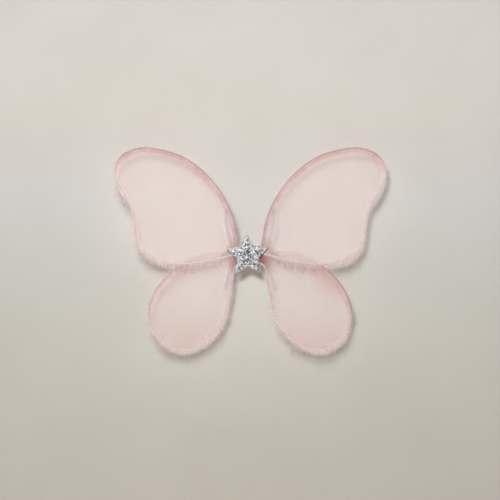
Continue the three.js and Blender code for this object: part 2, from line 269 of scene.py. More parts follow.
def grid_uvs(u, v):
    """Corner uvs of the quads of a grid, from the u of each row and the v of each column.

    A direction that wraps has one more value than the grid has points.
    """
    low = np.stack(np.meshgrid(u[:-1], v[:-1], indexing="ij"), -1)
    next_u = np.stack(np.meshgrid(u[1:], v[:-1], indexing="ij"), -1)
    both = np.stack(np.meshgrid(u[1:], v[1:], indexing="ij"), -1)
    next_v = np.stack(np.meshgrid(u[:-1], v[1:], indexing="ij"), -1)
    return np.stack([low, next_u, both, next_v], 2).reshape(-1, 2)


# ---- meshes --------------------------------------------------------------------------


def make_piece(name, points, faces, material, corner_uvs=None, values=None, smooth=True):
    """A mesh object from points and arrays of faces, each array holding faces of one size.

    values are named numbers, one for each point, that the material reads as attributes.
    """
    mesh = bpy.data.meshes.new(name)
    flat = [np.asarray(f, np.int32) for f in faces]
    corners = np.concatenate([f.ravel() for f in flat])
    sizes = np.concatenate([np.full(len(f), f.shape[1], np.int32) for f in flat])
    starts = np.concatenate([[0], np.cumsum(sizes)[:-1]]).astype(np.int32)
    mesh.vertices.add(len(points))
    mesh.vertices.foreach_set("co", np.asarray(points, np.float32).ravel())
    mesh.loops.add(len(corners))
    mesh.loops.foreach_set("vertex_index", corners)
    mesh.polygons.add(len(sizes))
    mesh.polygons.foreach_set("loop_start", starts)
    mesh.polygons.foreach_set("use_smooth", np.full(len(sizes), smooth))
    mesh.update(calc_edges=True)
    if corner_uvs is not None:
        layer = mesh.uv_layers.new(name="UVMap")
        layer.data.foreach_set("uv", np.asarray(corner_uvs, np.float32).ravel())
    for key, numbers in (values or {}).items():
        attribute = mesh.attributes.new(key, "FLOAT", "POINT")
        attribute.data.foreach_set("value", np.asarray(numbers, np.float32).ravel())
    mesh.validate()
    mesh.materials.append(material)
    piece = bpy.data.objects.new(name, mesh)
    bpy.context.scene.collection.objects.link(piece)
    return piece


def settle(piece, body, slot, *nodes):
    """The piece moves with a body and stands for its CAD nodes, which are hidden."""
    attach(piece, body)
    if nodes:
        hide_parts(*nodes)
    return piece


def mirrored(points, side):
    """Points of a right-hand piece, or of its twin on the left."""
    return points * np.array([side, 1, 1])


def facing_out(faces, side):
    """Faces whose order is turned round on the left, where the points are mirrored."""
    return [f if side > 0 else f[:, ::-1] for f in faces]


def uvs_for_side(uvs, size, side):
    """Corner uvs in the order that facing_out gives to faces of that size."""
    return uvs if side > 0 else uvs.reshape(-1, size, 2)[:, ::-1].reshape(-1, 2)


def swept(section, run, across, up, side=1):
    """A closed tube: a section (m, 2) or one for each place (n, m, 2), carried along a run.

    A point of the section is moved its first number along up and its second along across.
    The two ends are closed with one flat face each.
    """
    section = np.broadcast_to(section, (len(run),) + section.shape[-2:])
    points = (run[:, None] + section[..., :1] * up[:, None] + section[..., 1:] * across[:, None])
    n, m = section.shape[:2]
    sides = grid_faces(n, m, wrap_columns=True)
    first, last = np.arange(m)[None], (n - 1) * m + np.arange(m)[None]
    faces = [sides, first[:, ::-1], last]
    return mirrored(points.reshape(-1, 3), side), facing_out(faces, side)


def tube_uvs(distance, sides, side):
    """Corner uvs of a swept tube: distance along it, share of a turn round it, bare ends."""
    along = uvs_for_side(grid_uvs(distance, np.arange(sides + 1) / sides), 4, side)
    return np.vstack([along, np.zeros((2 * sides, 2))])


def tubes(lines, radii, sides, aside):
    """Many thin closed tubes at once, one round each line of points.

    radii holds the radius at each place along a line. A tube's two axes are worked out from
    its own direction and from aside, a direction that no line takes.
    """
    count, places = lines.shape[:2]
    along = unit(np.gradient(lines, axis=1))
    up = unit(np.cross(along, np.array(aside)))
    across = np.cross(along, up)
    angle = around(sides)
    ring = up[:, :, None] * np.cos(angle)[:, None] + across[:, :, None] * np.sin(angle)[:, None]
    points = lines[:, :, None] + ring * radii[None, :, None, None]
    offsets = (np.arange(count) * places * sides)[:, None, None]
    quads = grid_faces(places, sides, wrap_columns=True)[None] + offsets
    ends = np.stack([np.arange(sides)[::-1], (places - 1) * sides + np.arange(sides)]) + offsets
    return points.reshape(-1, 3), [quads.reshape(-1, 4), ends.reshape(-1, sides)]


def tufts(bases, directions, drops, reach, radius):
    """Many thin threads at once, each a tapering tube along a parabola.

    A thread's line is its base, plus t times its direction times its reach, plus t squared
    times its drop, for t from 0 to 1.
    """
    shares = np.linspace(0, 1, 5)
    t = shares[None, :, None]
    lines = (bases[:, None] + t * (directions * reach[:, None])[:, None]
             + t * t * (drops * reach[:, None])[:, None])
    return tubes(lines, radius * (1 - 0.75 * shares), 3, (0.31, 0.17, 0.93))


def stitches(name, starts, ends, lift, radius, material):
    """Short stitches that rise from one point and go down at another, as parabolic arcs."""
    places = 7
    t = np.linspace(0, 1, places)[None, :, None]
    straight = starts[:, None] * (1 - t) + ends[:, None] * t
    lines = straight + np.array([0, 1.0, 0]) * lift * 4 * t * (1 - t)
    points, faces = tubes(lines, np.full(places, radius), 8, (0.0, 1.0, 0.0))
    return make_piece(name, points, faces, material)


FLAKE_CORNERS = 12  # points of one flake: six below and six above


def flakes(centres, normals, radii, rng, tilt, thickness):
    """Thin six-sided plates on a surface, each tipped a little at random."""
    count = len(centres)
    normals = unit(normals + rng.normal(0, tilt, (count, 3)))
    first = unit(np.cross(normals, rng.normal(size=(count, 3))))
    second = np.cross(normals, first)
    angle = around(6)
    ring = (first[:, None] * np.cos(angle)[None, :, None]
            + second[:, None] * np.sin(angle)[None, :, None]) * radii[:, None, None]
    top = centres[:, None] + ring + (normals * thickness)[:, None]
    bottom = centres[:, None] + ring
    points = np.concatenate([bottom, top], 1).reshape(-1, 3)
    offsets = (np.arange(count) * FLAKE_CORNERS)[:, None, None]
    i = np.arange(6)
    rims = np.stack([i, (i + 1) % 6, 6 + (i + 1) % 6, 6 + i], 1)
    plates = np.stack([i[::-1], 6 + i])
    faces = [(plates[None] + offsets).reshape(-1, 6), (rims[None] + offsets).reshape(-1, 4)]
    return points, faces


def cushion(name, middle, size, softness, material, turns=96, steps=48):
    """A superellipsoid: a box with soft corners and softly crowned faces.

    Each coordinate is half a side times a sine or cosine raised to the softness, which is 1
    for an ellipsoid and near 0 for a box. softness is (round the outline, front to back).
    """
    outline, depth = softness
    u = np.linspace(0, 2 * math.pi, turns, endpoint=False)[None]
    v = np.linspace(-math.pi / 2, math.pi / 2, steps + 1)[1:-1, None]

    x = power(np.cos(v), depth) * power(np.cos(u), outline)
    z = power(np.cos(v), depth) * power(np.sin(u), outline)
    y = power(np.sin(v), depth) * np.ones_like(u)
    ring = np.stack([x, y, z], -1).reshape(-1, 3)
    half, centre = np.asarray(size) / 2, np.asarray(middle)
    points = np.vstack([ring, [[0, -1, 0], [0, 1, 0]]]) * half + centre
    rows = steps - 1
    sides = grid_faces(rows, turns, wrap_columns=True)
    first = np.arange(turns)
    near = fan(rows * turns, first)
    far = fan(rows * turns + 1, (rows - 1) * turns + first)[:, ::-1]
    return make_piece(name, points, [sides, np.vstack([near, far])], material)


# ---- materials -----------------------------------------------------------------------


class Finish:
    """A material round one Principled shader, with short ways to add nodes to it."""

    def __init__(self, name, base, roughness, **settings):
        self.base = tuple(base)
        self.material = bpy.data.materials.new(name)
        self.material.use_nodes = True
        self.nodes, self.links = self.material.node_tree.nodes, self.material.node_tree.links
        self.shader = self.nodes["Principled BSDF"]
        self.shader.inputs["Base Color"].default_value = (*self.base, 1)
        self.shader.inputs["Roughness"].default_value = roughness
        for key, value in settings.items():
            self.shader.inputs[key.replace("_", " ").title()].default_value = value

    def node(self, kind, inputs=(), **properties):
        made = self.nodes.new(kind)
        for key, value in properties.items():
            setattr(made, key, value)
        for key, value in dict(inputs).items():
            if isinstance(value, bpy.types.NodeSocket):
                self.links.new(value, made.inputs[key])
            else:
                made.inputs[key].default_value = value
        return made

    def set(self, socket, value):
        """Lead a node's value into the shader."""
        self.links.new(value, self.shader.inputs[socket])

    def tint(self, *factor):
        """The base colour, each of its parts multiplied and kept between 0 and 1."""
        return tuple(min(1.0, max(0.0, c * f)) for c, f in zip(self.base, factor))

    def attribute(self, name):
        return self.node("ShaderNodeAttribute", attribute_name=name).outputs["Fac"]

    def place(self, kind="Object", scale=(1, 1, 1), turn=(0, 0, 0)):
        """Object or UV coordinates, stretched and turned."""
        source = self.node("ShaderNodeTexCoord").outputs[kind]
        return self.node(
            "ShaderNodeMapping", {"Vector": source, "Scale": scale, "Rotation": turn}).outputs[0]

    def noise(self, vector, scale, detail=2.0, roughness=0.5):
        return self.node("ShaderNodeTexNoise", {
            "Vector": vector, "Scale": scale, "Detail": detail, "Roughness": roughness,
        }).outputs["Fac"]

    def wave(self, vector, scale, distortion, axis, **inputs):
        """Soft stripes across an axis."""
        return self.node("ShaderNodeTexWave", {
            "Vector": vector, "Scale": scale, "Distortion": distortion, **inputs,
        }, bands_direction=axis).outputs["Fac"]

    def ramp(self, factor, *stops):
        """A colour or value ramp; each stop is (place, colour)."""
        made = self.node("ShaderNodeValToRGB", {"Fac": factor})
        elements = made.color_ramp.elements
        while len(elements) < len(stops):
            elements.new(0.5)
        for element, (place, tone) in zip(elements, stops):
            element.position = place
            element.color = (*tone, 1) if hasattr(tone, "__len__") else (tone, tone, tone, 1)
        return made.outputs["Color"]

    def maths(self, operation, a, b=0.0, c=0.0, clamp=False):
        made = self.node(
            "ShaderNodeMath", {0: a, 1: b, 2: c}, operation=operation, use_clamp=clamp)
        return made.outputs[0]

    def mix(self, share, first, second):
        """From the first colour to the second."""
        made = self.node("ShaderNodeMix", {0: share, 6: first, 7: second}, data_type="RGBA")
        return made.outputs[2]

    def bump(self, height, strength, distance):
        self.set("Normal", self.node("ShaderNodeBump", {
            "Height": height, "Strength": strength, "Distance": distance}).outputs[0])

    def cover(self, share):
        """How much the net hides. It casts a paler shadow, since much of the light passes."""
        shadow = self.node("ShaderNodeLightPath").outputs["Is Shadow Ray"]
        kept = self.node("ShaderNodeMapRange", {
            "Value": shadow, "To Min": 1.0, "To Max": NET_SHADOW}).outputs[0]
        self.set("Alpha", self.maths("MULTIPLY", share, kept, clamp=True))


NET_SCALE = 420  # threads of the net, about 0.75 mm apart
NET_SHADOW = 0.52  # of the cover, in the shadow that the net casts
SHADE_TINT = (0.87, 0.72, 0.73)  # painted shade along the upper edges, and painted shadow of the upper wings on the lower ones
EDGE_HIGHLIGHT = (0.98, 0.95, 0.96, 1)  # painted highlight along the front of the casing's outer side
EDGE_SHADE = (0.3, 0.13, 0.12, 1)  # painted shade beside the wire's ridge and in the folds at the root
# Painted highlight along both edges of the elastic.
STRAP_EDGE_HIGHLIGHT = (0.93, 0.93, 0.97, 1)
STRAP_HIGHLIGHT_START, STRAP_HIGHLIGHT_END = 0.36, 0.42  # in widths from the middle of the elastic


def net_weave(finish):
    """Fine net, as three crossed sets of threads read from object coordinates."""
    threads = []
    for turn in (math.radians(30), math.radians(-30), math.radians(90)):
        place = finish.place("Object", (1, 0, 1), (0, turn, 0))
        threads.append(finish.wave(place, NET_SCALE, 0.6, "X", Detail=1.0))
    both = finish.maths("MAXIMUM", threads[0], threads[1])
    return finish.maths("MAXIMUM", both, threads[2])


def panel_material(fabric, name, tint):
    """Sheer net: the threads are denser than the holes, with a faint cloudy tone."""
    base = [c * f for c, f in zip(fabric.panel_colour, tint)]
    finish = Finish(name, base, 0.62, sheen_weight=0.25, sheen_roughness=0.5)
    tone = finish.ramp(finish.noise(finish.place(), 22, 3),
                       (0.3, finish.tint(0.99, 0.965, 0.96)),
                       (0.7, finish.tint(1.01, 1.03, 1.03)))
    # Painted shade: the net turns darker along its upper edges and where the upper wings' shadow
    # falls on the lower ones.
    painted_shade = finish.attribute("painted_shade")
    finish.set("Base Color", finish.mix(painted_shade, tone, (*finish.tint(*SHADE_TINT), 1)))
    net = net_weave(finish)
    thick = finish.maths("MULTIPLY_ADD", net, 0.24, fabric.panel_cover - 0.16)
    finish.cover(finish.maths("MULTIPLY_ADD", painted_shade, 0.1, thick))
    finish.bump(net, 0.25, 0.2 * MM)
    return finish.material


def casing_material(fabric, name):
    """Two folded layers of net, soft at the sewn inner edge. Painted shade darkens the hollows
    of its crease bump, its upper edges and its root, and a painted highlight runs along the
    wire.
    """
    finish = Finish(name, fabric.casing_colour, 0.7, sheen_weight=0.3, sheen_roughness=0.5)
    creases = finish.noise(finish.place("UV", (260, 24, 1)), 1.0, 3, 0.6)
    blotches = finish.noise(finish.place("UV", (70, 2, 1)), 1.0, 2)
    both = finish.maths("MULTIPLY", finish.maths("ADD", creases, blotches), 0.5)
    pale = finish.ramp(both, (0.36, finish.base), (0.5, finish.tint(1.1, 1.2, 1.2)),
                       (0.64, finish.tint(1.2, 1.38, 1.4)))
    in_shade = finish.ramp(both, (0.36, finish.tint(0.8, 0.7, 0.69)),
                        (0.5, finish.tint(0.9, 0.84, 0.83)),
                        (0.64, finish.tint(1.04, 1.06, 1.06)))
    # Painted shade: the darker tone where the casing is marked in shade.
    tone = finish.mix(finish.attribute("painted_shade"), pale, in_shade)
    line = finish.attribute("line")
    # Painted highlight where the line value is above nothing, painted shade where it is below.
    tone = finish.mix(finish.maths("MAXIMUM", line, 0.0), tone, EDGE_HIGHLIGHT)
    below = finish.maths("MULTIPLY", line, -1.0)
    finish.set("Base Color", finish.mix(finish.maths("MAXIMUM", below, 0.0), tone, EDGE_SHADE))
    ragged = finish.maths("MULTIPLY_ADD", creases, 0.3, 0.85)
    finish.cover(finish.maths("MULTIPLY", finish.attribute("cover"), ragged, clamp=True))
    finish.bump(creases, 0.5, 0.5 * MM)
    return finish.material


def frill_material(fabric, name):
    """The raw edge of the net, which thins out into loose threads."""
    finish = Finish(name, fabric.fringe_colour, 0.75, sheen_weight=0.3, sheen_roughness=0.5)
    streaks = finish.noise(finish.place("UV", (900, 40, 1)), 1.0, 2)
    ragged = finish.maths("MULTIPLY_ADD", streaks, 1.5, 0.25)
    finish.cover(finish.maths("MULTIPLY", finish.attribute("cover"), ragged, clamp=True))
    finish.set("Base Color", finish.ramp(
        streaks, (0.3, finish.tint(0.95, 0.88, 0.88)), (0.7, finish.base)))
    finish.bump(streaks, 0.4, 0.3 * MM)
    return finish.material


def loose_material(fabric, name):
    """Loose threads, rosier where they hang thick and paler where they stray."""
    finish = Finish(name, fabric.fringe_colour, 0.8, sheen_weight=0.4, sheen_roughness=0.4)
    finish.set("Base Color", finish.ramp(
        finish.attribute("rosy"), (0.0, finish.base), (1.0, finish.tint(0.72, 0.56, 0.57))))
    finish.bump(finish.noise(finish.place(), 900, 2), 0.3, 0.1 * MM)
    return finish.material


def thread_material(name, base):
    """Spun thread: a fine twist in the bump and an uneven tone from thread to thread."""
    finish = Finish(name, base, 0.8, sheen_weight=0.4, sheen_roughness=0.4)
    uneven = finish.noise(finish.place(), 900, 2)
    finish.set("Base Color", finish.ramp(
        uneven, (0.3, finish.tint(0.86, 0.82, 0.82)), (0.7, finish.base)))
    finish.bump(uneven, 0.3, 0.1 * MM)
    return finish.material


def felt_material(name, base):
    """Felt: short matted fibres, as fine noise over a slow change of tone."""
    finish = Finish(name, base, 0.95, sheen_weight=0.35, sheen_roughness=0.6)
    place = finish.place()
    fibres = finish.noise(place, 1600, 6, 0.7)
    both = finish.maths("MULTIPLY_ADD", fibres, 0.6, finish.noise(place, 90, 3))
    finish.set("Base Color", finish.ramp(
        both, (0.5, finish.tint(0.78, 0.72, 0.72)), (1.0, finish.tint(1.15, 1.18, 1.18))))
    finish.bump(fibres, 0.6, 0.25 * MM)
    return finish.material


def wire_material(name):
    """Spring wire under a thin rose lacquer: fine drawn lines and a slightly uneven shine."""
    finish = Finish(name, (0.55, 0.34, 0.32), 0.4, metallic=0.5)
    drawn = finish.noise(finish.place(), 1200, 4)
    finish.set("Roughness", finish.ramp(drawn, (0.3, 0.28), (0.7, 0.5)))
    finish.bump(drawn, 0.2, 0.05 * MM)
    return finish.material


def glitter_material(star, name):
    """Metal flakes, each with its own tone, from bright silver to dark."""
    finish = Finish(name, star.silver, 0.3, metallic=0.3)
    tone = finish.attribute("tone")
    finish.set("Base Color", finish.ramp(
        tone, (0.0, (0.03, 0.03, 0.035)), (0.3, (0.16, 0.16, 0.17)), (0.6, finish.base),
        (1.0, (0.93, 0.93, 0.94))))
    finish.set("Roughness", finish.ramp(tone, (0.0, 0.5), (1.0, 0.34)))
    return finish.material


def glitter_cloth_material(star, name):
    """The cloth under the flakes: fine glitter dust as small cells of different shine."""
    finish = Finish(name, star.silver, 0.45, metallic=0.2)
    cells = finish.node("ShaderNodeTexVoronoi", {"Vector": finish.place(), "Scale": 1400})
    grey = finish.node("ShaderNodeSeparateColor", {"Color": cells.outputs["Color"]}).outputs[0]
    finish.set("Base Color", finish.ramp(
        grey, (0.0, (0.4, 0.4, 0.41)), (0.5, (0.72, 0.72, 0.73)), (1.0, (0.95, 0.95, 0.96))))
    finish.bump(grey, 0.8, 0.2 * MM)
    return finish.material


def speck_material(name):
    """Tiny glitter specks, some dull and some bright."""
    finish = Finish(name, (0.7, 0.66, 0.65), 0.5, metallic=0.4)
    finish.set("Base Color", finish.ramp(
        finish.attribute("tone"), (0.0, (0.26, 0.2, 0.19)), (0.45, (0.55, 0.46, 0.44)),
        (1.0, (0.98, 0.96, 0.95))))
    return finish.material


def elastic_material(loops, name):
    """Flat woven elastic: long ribs crossed by fine picks, read along the strap."""
    finish = Finish(name, loops.elastic_colour, 0.6, sheen_weight=0.2, sheen_roughness=0.4)
    ribs = finish.wave(finish.place("UV", (0, 1, 1)), 2.9, 0.0, "Y")
    picks = finish.wave(finish.place("UV", (1, 0, 1)), 320, 0.4, "X")
    weave = finish.maths("MULTIPLY", ribs, finish.maths("MULTIPLY_ADD", picks, 0.5, 0.5))
    tone = finish.ramp(weave, (0.0, finish.tint(0.8, 0.78, 0.82)), (0.8, finish.base))
    across = finish.node("ShaderNodeSeparateXYZ", {0: finish.place("UV")}).outputs["Y"]
    # Painted highlight along both edges of the strap.
    edge = finish.ramp(finish.maths("ABSOLUTE", across),
                       (STRAP_HIGHLIGHT_START, 0.0), (STRAP_HIGHLIGHT_END, 1.0))
    finish.set("Base Color", finish.mix(edge, tone, STRAP_EDGE_HIGHLIGHT))
    finish.bump(weave, 0.6, 0.25 * MM)
    return finish.material


def wall_material(stage, name):
    """Matt paint, with painted light and shade: darkest near the foot of the wall, brighter up
    the wall and over the floor. It is open from behind, so that the wings' back can be seen.
    """
    finish = Finish(name, stage.wall_colour, 0.95)
    finish.shader.inputs["Specular IOR Level"].default_value = 0.1
    paint = finish.ramp(finish.noise(finish.place(), 9, 3),
                        (0.35, finish.tint(0.98, 0.98, 0.975)),
                        (0.65, finish.tint(1.01, 1.01, 1.015)))
    height = finish.node("ShaderNodeSeparateXYZ", {
        0: finish.node("ShaderNodeTexCoord").outputs["Object"]}).outputs["Z"]
    share_up = finish.node("ShaderNodeMapRange", {
        "Value": height, "From Min": -0.6, "From Max": 0.4}).outputs[0]
    # Painted light and shade: the tone darkens towards the foot of the wall and brightens
    # towards its top and over the floor.
    tone = finish.ramp(
        share_up, (0.0, (0.95, 0.95, 0.94)), (0.07, (0.9, 0.89, 0.87)),
        (0.16, (0.77, 0.75, 0.71)), (0.26, (0.778, 0.765, 0.729)), (0.5, (0.82, 0.841, 0.822)),
        (0.7, (0.894, 0.929, 0.948)), (0.83, (0.98, 0.973, 0.97)), (0.96, (1.0, 1.0, 1.0)))
    shaded = finish.node("ShaderNodeVectorMath", {0: paint, 1: tone}, operation="MULTIPLY")
    finish.set("Base Color", shaded.outputs[0])
    clear = finish.node("ShaderNodeBsdfTransparent").outputs[0]
    behind = finish.node("ShaderNodeNewGeometry").outputs["Backfacing"]
    shadow = finish.node("ShaderNodeLightPath").outputs["Is Shadow Ray"]
    mixed = finish.node("ShaderNodeMixShader", {
        0: finish.maths("MAXIMUM", behind, shadow), 1: finish.shader.outputs[0], 2: clear})
    finish.links.new(mixed.outputs[0], finish.nodes["Material Output"].inputs["Surface"])
    return finish.material


# ---- wings ---------------------------------------------------------------------------


FOLD_HEIGHT, FOLD_FADE = 0.36 * MM, 42 * MM  # folds that run out from the root
SLACK_HEIGHT, SLACK_LENGTH = 0.35 * MM, 90 * MM  # slow waves all over the net
PUCKER_HEIGHT, PUCKER_FADE = 0.2 * MM, 8 * MM  # small waves that start at the wire
PANEL_STEP, PANEL_RINGS = 1.15 * MM, 52
# A band of painted shade inside the upper edges: its middle and its width, in from the wire.
SHADE_BAND_MIDDLE, SHADE_BAND_WIDTH = 4 * MM, {"upper": 7 * MM, "lower": 24 * MM}
OVERLAP_SHADOW = 0.7  # painted shadow on the lower wings, where the upper ones hang in front
CASING_STEP, CASING_SIDES = 0.62 * MM, 26
FULL_CASING, FULL_FRINGE = 44 * MM, 50 * MM  # from the root to where each is fully grown
SHADED_FACING = {"upper": (0.1, 0.85), "lower": (-0.5, 0.4)}  # how far up an edge must face to take painted shade
SHADED_ROOT = (0.14, 0.24)  # share of the upper wire over which the painted shade at the root ends
ROOT_SHADE = {"upper": 0.45, "lower": 1.1}
ROSY_THREADS = {"upper": 0.6, "lower": 0.3}
STRAY_SHARE = 0.11
GATHER_REACH = 34 * MM
BINDING_TURNS = 16
SPARKLES = {"upper": 420, "lower": 260}


class Wing:
    """One wing's facts: its wire's line on the right-hand side, and what it rides on."""

    def __init__(self, level, side_name):
        self.level = level
        self.name = f"{level}_{side_name}"
        self.body = f"{self.name}_wing"
        self.side = 1 if side_name == "right" else -1
        self.seed, self.shade_strength = WING_TRAITS[self.name]
        wire_low, wire_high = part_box(f"{level}_right_wire")
        knot_low, knot_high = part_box(f"{level}_right_root_binding")
        self.plane = (knot_low.y + knot_high.y) / 2
        self.root = np.array([knot_high.x + ROOT_AIR, (knot_low.z + knot_high.z) / 2])
        radius = (wire_high.y - wire_low.y) / 2
        reach = wire_high.x - radius
        rise = wire_high.z - radius if level == "upper" else wire_low.z + radius
        self.scale = np.array([reach, rise])
        points = np.array(OUTLINES[level]) * self.scale
        spread = np.array([0, ROOT_WIRE_SPREAD / 2])
        run = np.vstack([self.root + spread, points, self.root - spread])
        self.line = smooth_run(run, 24)
        self.middle = np.array(PANEL_MIDDLES[level]) * self.scale
        self.length = lengths(self.line)[-1]

    def run(self, spacing):
        """Even places along the wire: points, inward directions and distances, in x and z."""
        count = int(self.length / spacing)
        line = evenly(self.line, count)
        along = unit(np.gradient(line, axis=0))
        inward = np.stack([along[:, 1], -along[:, 0]], 1)
        return line, inward, lengths(line)

    def in_space(self, flat, depth=0.0):
        """Points in x and z, set on the wing's plane or a depth towards the wearer."""
        return upright(flat, self.plane + depth)

    def carry(self, section, line, inward):
        """A section, drawn forwards and inwards, carried along a line on the plane."""
        forwards = np.tile([0.0, -1.0, 0.0], (len(line), 1))
        return swept(section, self.in_space(line), upright(inward, 0.0), forwards, self.side)

    def from_root(self, distance):
        """Distance to the nearer end of the wire."""
        return np.minimum(distance, self.length - distance)

    def folds(self, flat):
        """Relief of the fabric at places in x and z: folds that run out from the root."""
        away = flat - self.root
        distance = np.linalg.norm(away, axis=-1)
        angle = np.arctan2(away[..., 1], away[..., 0])
        fade = np.exp(-distance / FOLD_FADE) * smoothstep(0, FOLD_FADE / 3, distance)
        pleats = ripples(angle, 0.16, self.seed) + 0.6 * ripples(angle, 0.07, self.seed + 1)
        slack = ripples(flat[..., 0] + 0.4 * flat[..., 1], SLACK_LENGTH, self.seed + 2)
        return FOLD_HEIGHT * fade * pleats + SLACK_HEIGHT * slack


def build_wire(wing, fabric, material):
    """Round wire along the wing's line, ending in its root binding."""
    line, inward, _ = wing.run(1.6 * MM)
    angle = around(12)
    section = fabric.wire_radius * np.stack([np.cos(angle), np.sin(angle)], 1)
    points, faces = wing.carry(section, line, inward)
    piece = make_piece(f"{wing.name}_rim_wire", points, faces, material)
    return settle(piece, wing.body, "wire", f"{wing.name}_wire")


def build_panel(wing, fabric, material):
    """Sheer fabric as rings between the wing's middle and its wire.

    A point is the middle plus a share r of the way to the wire, and its depth is the sum of
    puckers that fade inwards from the edge and of folds that run out from the root.
    """
    line, inward, distance = wing.run(PANEL_STEP)
    edge = (line + inward * 1.2 * MM)[:-1]
    rings = PANEL_RINGS
    r = (np.arange(1, rings + 1) / rings)[:, None] ** 0.85
    flat = wing.middle + (edge - wing.middle)[None] * r[..., None]
    to_edge = np.linalg.norm(edge[None] - flat, axis=-1)
    at = distance[None, :-1]
    pucker = ripples(at, 11 * MM, wing.seed + 3) + 0.5 * ripples(at, 5 * MM, wing.seed + 4)
    relief = wing.folds(flat) + PUCKER_HEIGHT * pucker * np.exp(-to_edge / PUCKER_FADE)
    relief *= 0.12 + 0.88 * smoothstep(
        fabric.casing_width, fabric.casing_width + 9 * MM, to_edge)
    # Painted shade inside the upward-facing edges and, on the lower wings, the upper wings'
    # painted shadow over their top.
    above = smoothstep(0.1, 0.8, -inward[None, :-1, 1])
    painted_shade = wing.shade_strength * above * bell(to_edge, SHADE_BAND_MIDDLE, SHADE_BAND_WIDTH[wing.level])
    if wing.level == "lower":
        painted_shade = painted_shade + OVERLAP_SHADOW * smoothstep(0.5, 1.0, flat[..., 1] / wing.scale[1])
    points = wing.in_space(flat, relief).reshape(-1, 3)
    hub = wing.in_space(wing.middle[None], float(relief[0].mean()))
    points = mirrored(np.vstack([points, hub]), wing.side)
    columns = len(edge)
    quads = grid_faces(rings, columns, wrap_columns=True)
    faces = facing_out([quads, fan(rings * columns, np.arange(columns))], wing.side)
    piece = make_piece(f"{wing.name}_mesh_panel", points, faces, material,
                       values={"painted_shade": np.append(painted_shade, 0.0)})
    settle(piece, wing.body, "mesh_fabric", f"{wing.name}_panel")
    return piece


def build_casing(wing, fabric, material):
    """Folded fabric round the wire: a drop-shaped section with small slanting gathers.

    The section is an ellipse round the wire that narrows to a thin edge inwards. Its width
    grows from the root, and each point is pushed out by a wave along the wire.
    """
    line, inward, distance = wing.run(CASING_STEP)
    sides = CASING_SIDES
    angle = around(sides)
    inner = np.maximum(np.cos(angle), 0)
    outer = np.maximum(-np.cos(angle), 0)
    grown = smoothstep(0, FULL_CASING, wing.from_root(distance))[:, None]
    width = fabric.casing_width * (0.3 + 0.7 * grown)
    width = width * (1 + 0.04 * ripples(distance, 14 * MM, wing.seed + 5)[:, None])
    half = fabric.casing_half * (1 - 0.25 * (1 - grown))
    across = inner**0.9 * width - outer * half
    slim = 1 - 0.72 * inner**0.7
    up = np.sin(angle) * half * slim
    slant = distance[:, None] + across * 0.55
    wave = (ripples(slant, fabric.ruche_spacing, wing.seed + 6)
            + 0.7 * ripples(slant, 2.4 * fabric.ruche_spacing, wing.seed + 7))
    up = up + fabric.ruche_depth * wave * np.sin(angle) * (0.45 + 0.55 * inner)
    across = across + 0.25 * fabric.ruche_depth * wave * outer
    points, faces = wing.carry(np.stack([up, across], -1), line, inward)
    # Painted shade on the casing: along its upper edges and, on the upper wings, near the root.
    in_shade = smoothstep(*SHADED_FACING[wing.level], -inward[:, 1])
    if wing.level == "upper":
        in_shade = np.maximum(in_shade, 1 - smoothstep(*SHADED_ROOT, distance / wing.length))
    painted_shade = wing.shade_strength * in_shade[:, None] * np.ones(sides)
    over_wire = 0.62 + 0.14 * painted_shade
    edge_fade = over_wire * (1 - 0.92 * smoothstep(0.15 * painted_shade, 0.55 + 0.45 * painted_shade, inner))
    # Painted highlight along the front of the wire's ridge on side and lower edges, and painted
    # shade in darker lines beside it.
    front = np.sin(angle) > 0
    light = np.clip(1 - painted_shade, 0, 1)
    pale = bell(across, -1.2 * MM, 0.7 * MM) * front * light
    if wing.level == "lower":
        pale = pale * (0.15 + 0.85 * grown**2)
    dark = bell(across, -0.5 * MM, 0.8 * MM) * painted_shade
    under = bell(across, 0.6 * MM, 0.7 * MM) * light
    ridge_light_and_shade = 1.2 * pale - 0.32 * dark - 0.3 * under
    edge_fade = np.maximum(edge_fade, 0.95 * pale)
    piece = make_piece(f"{wing.name}_ruched_casing", points, faces, material,
                       tube_uvs(distance, sides, wing.side),
                       {"cover": edge_fade, "painted_shade": painted_shade, "line": ridge_light_and_shade})
    return settle(piece, wing.body, "edge_fabric", f"{wing.name}_casing")


def edge_facts(wing, spacing):
    """Places along the casing's outer side, with how much each hangs (0 on top, 1 below)."""
    line, inward, distance = wing.run(spacing)
    outward = -inward
    hanging = smoothstep(-0.15, -0.85, outward[:, 1])
    grown = smoothstep(4 * MM, FULL_FRINGE, wing.from_root(distance))
    return line, outward, distance, hanging, grown


def build_frill(wing, fabric, material):
    """The raw edge of the fabric: a wavy ribbon with a torn outer edge.

    A point is its place on the casing, plus a share v of the ribbon's width outwards and, on
    hanging edges, downwards, with a depth that waves along the edge.
    """
    line, outward, distance, hanging, grown = edge_facts(wing, 0.5 * MM)
    columns = 8
    v = np.linspace(0, 1, columns)[None, :, None]
    torn = 1 + 0.16 * ripples(distance, 2.2 * MM, wing.seed + 8) + 0.16 * ripples(
        distance, 7 * MM, wing.seed + 9)
    width = fabric.fringe_length * (0.36 + 0.36 * hanging) * torn * (0.3 + 0.7 * grown)
    droop = unit(outward + hanging[:, None] * np.array([0, -0.9]))
    flat = (line + outward * 1.2 * MM)[:, None] + droop[:, None] * v * width[:, None, None]
    wave = ripples(distance, 9 * MM, wing.seed + 10)[:, None] * v[..., 0]
    points = mirrored(wing.in_space(flat, 0.8 * MM * wave).reshape(-1, 3), wing.side)
    cover = (0.03 + 0.55 * hanging)[:, None] * (1 - 0.85 * v[..., 0] ** 1.2)
    quads = grid_faces(len(line), columns)
    corner_uvs = uvs_for_side(grid_uvs(distance, v[0, :, 0]), 4, wing.side)
    piece = make_piece(f"{wing.name}_raw_edge", points, facing_out([quads], wing.side),
                       material, corner_uvs, {"cover": cover})
    return settle(piece, wing.body, "fringe")


